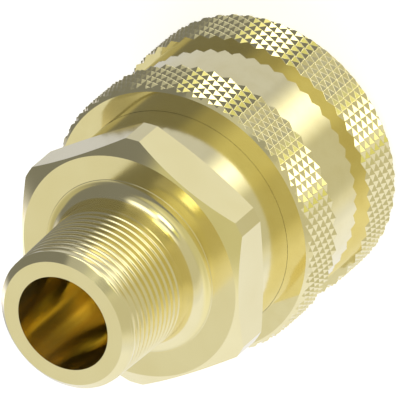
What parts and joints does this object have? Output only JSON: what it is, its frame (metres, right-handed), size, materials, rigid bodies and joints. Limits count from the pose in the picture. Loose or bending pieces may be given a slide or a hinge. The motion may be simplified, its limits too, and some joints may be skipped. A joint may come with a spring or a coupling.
{
  "type": "quick coupling",
  "caption": "Brass ball-lock quick coupling socket with male taper thread, hex, shut-off valve and a knurled sleeve that slides back against a spring.",
  "frame": {"origin": "centre of the mouth, on the flat rim of the body that the coupling stands on", "axes": "+Z along the flow axis, from the mouth to the threaded end; +X through a corner of the hex"},
  "size_m": [0.0816, 0.0816, 0.1127],
  "materials": {
    "brass": "turned, bright",
    "steel": "drawn spring steel",
    "ball_steel": "ground and polished",
    "rubber": "moulded, satin",
    "ptfe": "turned, matt"
  },
  "bodies": {
    "body": {"adapter": "brass", "adapter_seal": "rubber", "body": "brass", "stop_ring": "steel", "ball_01": "ball_steel", "ball_02": "ball_steel", "ball_03": "ball_steel", "ball_04": "ball_steel", "ball_05": "ball_steel", "ball_06": "ball_steel", "ball_07": "ball_steel", "ball_08": "ball_steel", "ball_09": "ball_steel", "ball_10": "ball_steel", "ball_11": "ball_steel", "ball_12": "ball_steel", "plug_seal": "rubber", "backup_ring": "ptfe", "valve_guide": "brass"},
    "washer": {"spring_washer": "steel", "sleeve_spring": "steel"},
    "sleeve": {"sleeve": "brass"},
    "valve": {"poppet": "brass", "poppet_seal": "rubber", "valve_spring": "steel"}
  },
  "joints": [
    {"name": "sleeve_slide", "type": "slide", "parent": "body", "child": "washer", "axis": [0, 0, 1], "range_m": [0, 0.01], "stiffness_N_per_m": 4000, "springref_m": -0.01, "deforming": ["sleeve_spring"]},
    {"name": "sleeve_turn", "type": "hinge", "parent": "washer", "child": "sleeve", "pos_m": [0, 0, 0.025], "axis": [0, 0, 1], "continuous": true},
    {"name": "valve_open", "type": "slide", "parent": "body", "child": "valve", "axis": [0, 0, 1], "range_m": [0, 0.008], "stiffness_N_per_m": 2500, "springref_m": -0.008, "deforming": ["valve_spring"]}
  ]
}
